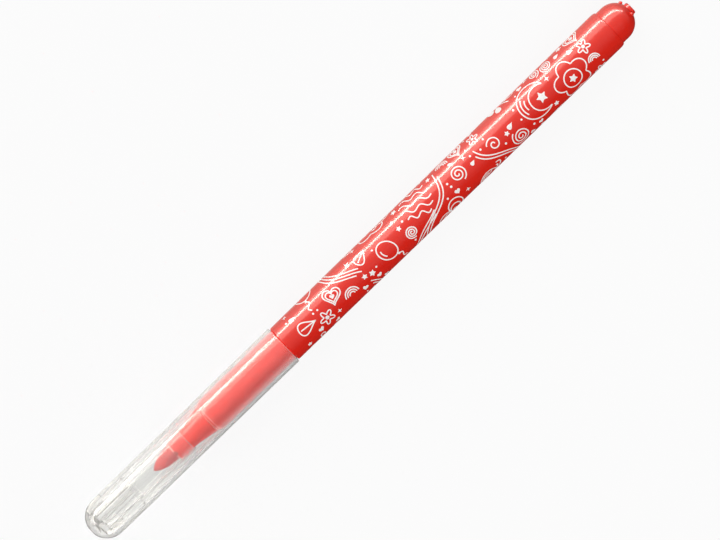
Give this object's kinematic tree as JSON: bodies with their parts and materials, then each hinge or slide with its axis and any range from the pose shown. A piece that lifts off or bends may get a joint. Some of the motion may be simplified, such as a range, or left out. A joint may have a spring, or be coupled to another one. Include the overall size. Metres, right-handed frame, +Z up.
{
  "type": "felt-tip pen",
  "caption": "Slim fibre-tip colouring pen with a red barrel, a domed rear plug and a clear ventilated cap that pulls off its nib.",
  "frame": {"origin": "on the surface that the pen lies on, under the middle of its length", "axes": "+X along the pen, from the closed end of the cap to the rear plug; +Z up"},
  "size_m": [0.15, 0.009, 0.0089],
  "materials": {
    "red_plastic": "glossy moulded polypropylene, red",
    "clear_plastic": "polished clear moulded plastic",
    "nib_fibre": "bonded fibre, soaked with red ink",
    "ink_fibre": "soft fibre bundle, soaked with red ink",
    "film": "thin smooth plastic film",
    "white_ink": "thin printed white ink"
  },
  "bodies": {
    "pen": {"barrel": "red_plastic", "nib_holder": "red_plastic", "nib": "nib_fibre", "ink_reservoir_core": "ink_fibre", "ink_reservoir_film": "film", "rear_plug": "red_plastic"},
    "cap": {"cap": "clear_plastic"}
  },
  "joints": [
    {"name": "cap_pull", "type": "slide", "parent": "pen", "child": "cap", "axis": [-1, 0, 0], "range_m": [0, 0.045]}
  ]
}
